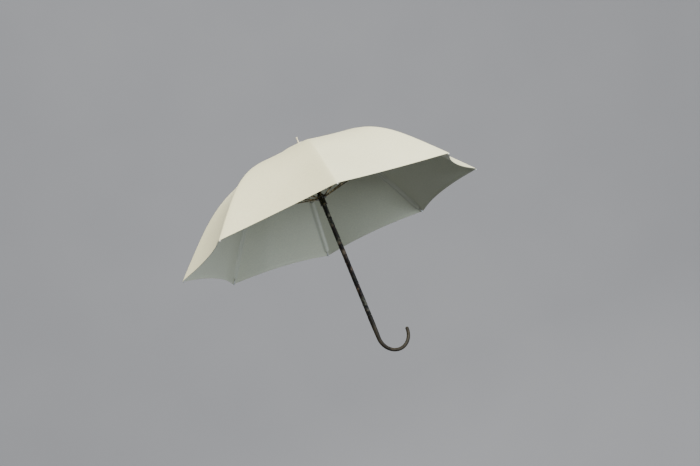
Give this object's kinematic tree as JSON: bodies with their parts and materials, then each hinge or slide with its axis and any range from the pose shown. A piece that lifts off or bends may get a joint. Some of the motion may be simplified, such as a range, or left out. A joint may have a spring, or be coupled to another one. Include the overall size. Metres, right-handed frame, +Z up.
{
  "type": "umbrella",
  "caption": "Open folding umbrella with a deep round canopy of sewn gores on a hinged rib frame, a sliding runner, a cane stick and a crook handle.",
  "frame": {"origin": "middle of the hand's grip, on the stick's axis", "axes": "+Z up along the stick to the ferrule, +X the way the crook opens, half way between two ribs"},
  "size_m": [0.7762, 0.7762, 0.6322],
  "materials": {
    "canopy": "smooth ivory oiled cloth with a slight sheen",
    "frame": "olive brown lacquer on steel wire",
    "rib": "ivory lacquer on steel wire",
    "steel": "bright spring steel",
    "cane": "dark cane with rough bark",
    "crook": "dark bent cane, peeled smooth and varnished",
    "ferrule": "pale turned ferrule",
    "tip": "white ball tips"
  },
  "bodies": {
    "stick": {"stick": "cane", "crook_handle": "crook", "handle_dowel": "cane", "ferrule": "ferrule", "crown_cap": "canopy", "crown_washer": "steel", "top_notch": "frame", "notch_wire": "steel", "stop_pin": "steel"},
    "runner": {"runner": "frame", "runner_wire": "steel"},
    "top_catch": {"top_catch": "steel"},
    "bottom_catch": {"bottom_catch": "steel"},
    "rib_1": {"rib_1": "rib", "rib_tip_1": "tip"},
    "stretcher_1": {"stretcher_1": "frame"},
    "rib_2": {"rib_2": "rib", "rib_tip_2": "tip"},
    "stretcher_2": {"stretcher_2": "frame"},
    "rib_3": {"rib_3": "rib", "rib_tip_3": "tip"},
    "stretcher_3": {"stretcher_3": "frame"},
    "rib_4": {"rib_4": "rib", "rib_tip_4": "tip"},
    "stretcher_4": {"stretcher_4": "frame"},
    "rib_5": {"rib_5": "rib", "rib_tip_5": "tip"},
    "stretcher_5": {"stretcher_5": "frame"},
    "rib_6": {"rib_6": "rib", "rib_tip_6": "tip"},
    "stretcher_6": {"stretcher_6": "frame"},
    "rib_7": {"rib_7": "rib", "rib_tip_7": "tip"},
    "stretcher_7": {"stretcher_7": "frame"},
    "rib_8": {"rib_8": "rib", "rib_tip_8": "tip"},
    "stretcher_8": {"stretcher_8": "frame"},
    "panel_1_half_a": {"panel_1_half_a": "canopy"},
    "panel_1_half_b": {"panel_1_half_b": "canopy"},
    "panel_2_half_a": {"panel_2_half_a": "canopy"},
    "panel_2_half_b": {"panel_2_half_b": "canopy"},
    "panel_3_half_a": {"panel_3_half_a": "canopy"},
    "panel_3_half_b": {"panel_3_half_b": "canopy"},
    "panel_4_half_a": {"panel_4_half_a": "canopy"},
    "panel_4_half_b": {"panel_4_half_b": "canopy"},
    "panel_5_half_a": {"panel_5_half_a": "canopy"},
    "panel_5_half_b": {"panel_5_half_b": "canopy"},
    "panel_6_half_a": {"panel_6_half_a": "canopy"},
    "panel_6_half_b": {"panel_6_half_b": "canopy"},
    "panel_7_half_a": {"panel_7_half_a": "canopy"},
    "panel_7_half_b": {"panel_7_half_b": "canopy"},
    "panel_8_half_a": {"panel_8_half_a": "canopy"},
    "panel_8_half_b": {"panel_8_half_b": "canopy"}
  },
  "joints": [
    {"name": "canopy_fold", "type": "hinge", "parent": "stick", "child": "rib_1", "pos_m": [0.01201, 0.00498, 0.524], "axis": [-0.3827, 0.9239, 0], "range_deg": [0, 58], "deforming": ["panel_1_half_a", "panel_1_half_b", "panel_2_half_a", "panel_2_half_b", "panel_3_half_a", "panel_3_half_b", "panel_4_half_a", "panel_4_half_b", "panel_5_half_a", "panel_5_half_b", "panel_6_half_a", "panel_6_half_b", "panel_7_half_a", "panel_7_half_b", "panel_8_half_a", "panel_8_half_b", "top_catch", "bottom_catch"]},
    {"name": "rib_2_fold", "type": "hinge", "parent": "stick", "child": "rib_2", "pos_m": [0.00498, 0.01201, 0.524], "axis": [-0.9239, 0.3827, 0], "range_deg": [0, 58]},
    {"name": "rib_3_fold", "type": "hinge", "parent": "stick", "child": "rib_3", "pos_m": [-0.00498, 0.01201, 0.524], "axis": [-0.9239, -0.3827, 0], "range_deg": [0, 58]},
    {"name": "rib_4_fold", "type": "hinge", "parent": "stick", "child": "rib_4", "pos_m": [-0.01201, 0.00498, 0.524], "axis": [-0.3827, -0.9239, 0], "range_deg": [0, 58]},
    {"name": "rib_5_fold", "type": "hinge", "parent": "stick", "child": "rib_5", "pos_m": [-0.01201, -0.00498, 0.524], "axis": [0.3827, -0.9239, 0], "range_deg": [0, 58]},
    {"name": "rib_6_fold", "type": "hinge", "parent": "stick", "child": "rib_6", "pos_m": [-0.00498, -0.01201, 0.524], "axis": [0.9239, -0.3827, 0], "range_deg": [0, 58]},
    {"name": "rib_7_fold", "type": "hinge", "parent": "stick", "child": "rib_7", "pos_m": [0.00498, -0.01201, 0.524], "axis": [0.9239, 0.3827, 0], "range_deg": [0, 58]},
    {"name": "rib_8_fold", "type": "hinge", "parent": "stick", "child": "rib_8", "pos_m": [0.01201, -0.00498, 0.524], "axis": [0.3827, 0.9239, 0], "range_deg": [0, 58]},
    {"name": "stretcher_1_pivot", "type": "hinge", "parent": "rib_1", "child": "stretcher_1", "pos_m": [0.22881, 0.09478, 0.448], "axis": [-0.3827, 0.9239, 0], "range_deg": [-116, 0]},
    {"name": "stretcher_2_pivot", "type": "hinge", "parent": "rib_2", "child": "stretcher_2", "pos_m": [0.09478, 0.22881, 0.448], "axis": [-0.9239, 0.3827, 0], "range_deg": [-116, 0]},
    {"name": "stretcher_3_pivot", "type": "hinge", "parent": "rib_3", "child": "stretcher_3", "pos_m": [-0.09478, 0.22881, 0.448], "axis": [-0.9239, -0.3827, 0], "range_deg": [-116, 0]},
    {"name": "stretcher_4_pivot", "type": "hinge", "parent": "rib_4", "child": "stretcher_4", "pos_m": [-0.22881, 0.09478, 0.448], "axis": [-0.3827, -0.9239, 0], "range_deg": [-116, 0]},
    {"name": "stretcher_5_pivot", "type": "hinge", "parent": "rib_5", "child": "stretcher_5", "pos_m": [-0.22881, -0.09478, 0.448], "axis": [0.3827, -0.9239, 0], "range_deg": [-116, 0]},
    {"name": "stretcher_6_pivot", "type": "hinge", "parent": "rib_6", "child": "stretcher_6", "pos_m": [-0.09478, -0.22881, 0.448], "axis": [0.9239, -0.3827, 0], "range_deg": [-116, 0]},
    {"name": "stretcher_7_pivot", "type": "hinge", "parent": "rib_7", "child": "stretcher_7", "pos_m": [0.09478, -0.22881, 0.448], "axis": [0.9239, 0.3827, 0], "range_deg": [-116, 0]},
    {"name": "stretcher_8_pivot", "type": "hinge", "parent": "rib_8", "child": "stretcher_8", "pos_m": [0.22881, -0.09478, 0.448], "axis": [0.3827, 0.9239, 0], "range_deg": [-116, 0]},
    {"name": "runner_slide", "type": "hinge", "parent": "stretcher_1", "child": "runner", "pos_m": [0.01201, 0.00498, 0.372], "axis": [-0.3827, 0.9239, 0], "range_deg": [0, 58]},
    {"name": "panel_1_half_a_fold", "type": "hinge", "parent": "rib_1", "child": "panel_1_half_a", "pos_m": [0.08763, 0.24574, 0.5618], "axis": [-0.8893, -0.3722, 0.2657], "range_deg": [0, 36.3]},
    {"name": "panel_1_half_b_fold", "type": "hinge", "parent": "rib_2", "child": "panel_1_half_b", "pos_m": [0.24574, 0.08763, 0.5618], "axis": [0.3722, 0.8893, -0.2657], "range_deg": [0, 36.3]},
    {"name": "panel_2_half_a_fold", "type": "hinge", "parent": "rib_2", "child": "panel_2_half_a", "pos_m": [-0.1118, 0.23573, 0.5618], "axis": [-0.3657, -0.892, 0.2657], "range_deg": [0, 36.3]},
    {"name": "panel_2_half_b_fold", "type": "hinge", "parent": "rib_3", "child": "panel_2_half_b", "pos_m": [0.1118, 0.23573, 0.5618], "axis": [-0.3657, 0.892, -0.2657], "range_deg": [0, 36.3]},
    {"name": "panel_3_half_a_fold", "type": "hinge", "parent": "rib_3", "child": "panel_3_half_a", "pos_m": [-0.24574, 0.08763, 0.5618], "axis": [0.3722, -0.8893, 0.2657], "range_deg": [0, 36.3]},
    {"name": "panel_3_half_b_fold", "type": "hinge", "parent": "rib_4", "child": "panel_3_half_b", "pos_m": [-0.08763, 0.24574, 0.5618], "axis": [-0.8893, 0.3722, -0.2657], "range_deg": [0, 36.3]},
    {"name": "panel_4_half_a_fold", "type": "hinge", "parent": "rib_4", "child": "panel_4_half_a", "pos_m": [-0.23573, -0.1118, 0.5618], "axis": [0.892, -0.3657, 0.2657], "range_deg": [0, 36.3]},
    {"name": "panel_4_half_b_fold", "type": "hinge", "parent": "rib_5", "child": "panel_4_half_b", "pos_m": [-0.23573, 0.1118, 0.5618], "axis": [-0.892, -0.3657, -0.2657], "range_deg": [0, 36.3]},
    {"name": "panel_5_half_a_fold", "type": "hinge", "parent": "rib_5", "child": "panel_5_half_a", "pos_m": [-0.08763, -0.24574, 0.5618], "axis": [0.8893, 0.3722, 0.2657], "range_deg": [0, 36.3]},
    {"name": "panel_5_half_b_fold", "type": "hinge", "parent": "rib_6", "child": "panel_5_half_b", "pos_m": [-0.24574, -0.08763, 0.5618], "axis": [-0.3722, -0.8893, -0.2657], "range_deg": [0, 36.3]},
    {"name": "panel_6_half_a_fold", "type": "hinge", "parent": "rib_6", "child": "panel_6_half_a", "pos_m": [0.1118, -0.23573, 0.5618], "axis": [0.3657, 0.892, 0.2657], "range_deg": [0, 36.3]},
    {"name": "panel_6_half_b_fold", "type": "hinge", "parent": "rib_7", "child": "panel_6_half_b", "pos_m": [-0.1118, -0.23573, 0.5618], "axis": [0.3657, -0.892, -0.2657], "range_deg": [0, 36.3]},
    {"name": "panel_7_half_a_fold", "type": "hinge", "parent": "rib_7", "child": "panel_7_half_a", "pos_m": [0.24574, -0.08763, 0.5618], "axis": [-0.3722, 0.8893, 0.2657], "range_deg": [0, 36.3]},
    {"name": "panel_7_half_b_fold", "type": "hinge", "parent": "rib_8", "child": "panel_7_half_b", "pos_m": [0.08763, -0.24574, 0.5618], "axis": [0.8893, -0.3722, -0.2657], "range_deg": [0, 36.3]},
    {"name": "panel_8_half_a_fold", "type": "hinge", "parent": "rib_8", "child": "panel_8_half_a", "pos_m": [0.23573, 0.1118, 0.5618], "axis": [-0.892, 0.3657, 0.2657], "range_deg": [0, 36.3]},
    {"name": "panel_8_half_b_fold", "type": "hinge", "parent": "rib_1", "child": "panel_8_half_b", "pos_m": [0.23573, -0.1118, 0.5618], "axis": [0.892, 0.3657, -0.2657], "range_deg": [0, 36.3]},
    {"name": "top_catch_press", "type": "slide", "parent": "stick", "child": "top_catch", "axis": [0, -1, 0], "range_m": [0, 0.0024], "stiffness_N_per_m": 400},
    {"name": "bottom_catch_press", "type": "slide", "parent": "stick", "child": "bottom_catch", "axis": [0, -1, 0], "range_m": [0, 0.0024], "stiffness_N_per_m": 400}
  ],
  "couplings": [
    {"joint": "rib_2_fold", "follows": "canopy_fold", "ratio": 1},
    {"joint": "rib_3_fold", "follows": "canopy_fold", "ratio": 1},
    {"joint": "rib_4_fold", "follows": "canopy_fold", "ratio": 1},
    {"joint": "rib_5_fold", "follows": "canopy_fold", "ratio": 1},
    {"joint": "rib_6_fold", "follows": "canopy_fold", "ratio": 1},
    {"joint": "rib_7_fold", "follows": "canopy_fold", "ratio": 1},
    {"joint": "rib_8_fold", "follows": "canopy_fold", "ratio": 1},
    {"joint": "stretcher_1_pivot", "follows": "canopy_fold", "ratio": -2},
    {"joint": "stretcher_2_pivot", "follows": "canopy_fold", "ratio": -2},
    {"joint": "stretcher_3_pivot", "follows": "canopy_fold", "ratio": -2},
    {"joint": "stretcher_4_pivot", "follows": "canopy_fold", "ratio": -2},
    {"joint": "stretcher_5_pivot", "follows": "canopy_fold", "ratio": -2},
    {"joint": "stretcher_6_pivot", "follows": "canopy_fold", "ratio": -2},
    {"joint": "stretcher_7_pivot", "follows": "canopy_fold", "ratio": -2},
    {"joint": "stretcher_8_pivot", "follows": "canopy_fold", "ratio": -2},
    {"joint": "runner_slide", "follows": "canopy_fold", "ratio": 1},
    {"joint": "panel_1_half_a_fold", "follows": "canopy_fold", "ratio": 0.62379},
    {"joint": "panel_1_half_b_fold", "follows": "canopy_fold", "ratio": 0.62379},
    {"joint": "panel_2_half_a_fold", "follows": "canopy_fold", "ratio": 0.62379},
    {"joint": "panel_2_half_b_fold", "follows": "canopy_fold", "ratio": 0.62379},
    {"joint": "panel_3_half_a_fold", "follows": "canopy_fold", "ratio": 0.62379},
    {"joint": "panel_3_half_b_fold", "follows": "canopy_fold", "ratio": 0.62379},
    {"joint": "panel_4_half_a_fold", "follows": "canopy_fold", "ratio": 0.62379},
    {"joint": "panel_4_half_b_fold", "follows": "canopy_fold", "ratio": 0.62379},
    {"joint": "panel_5_half_a_fold", "follows": "canopy_fold", "ratio": 0.62379},
    {"joint": "panel_5_half_b_fold", "follows": "canopy_fold", "ratio": 0.62379},
    {"joint": "panel_6_half_a_fold", "follows": "canopy_fold", "ratio": 0.62379},
    {"joint": "panel_6_half_b_fold", "follows": "canopy_fold", "ratio": 0.62379},
    {"joint": "panel_7_half_a_fold", "follows": "canopy_fold", "ratio": 0.62379},
    {"joint": "panel_7_half_b_fold", "follows": "canopy_fold", "ratio": 0.62379},
    {"joint": "panel_8_half_a_fold", "follows": "canopy_fold", "ratio": 0.62379},
    {"joint": "panel_8_half_b_fold", "follows": "canopy_fold", "ratio": 0.62379}
  ]
}
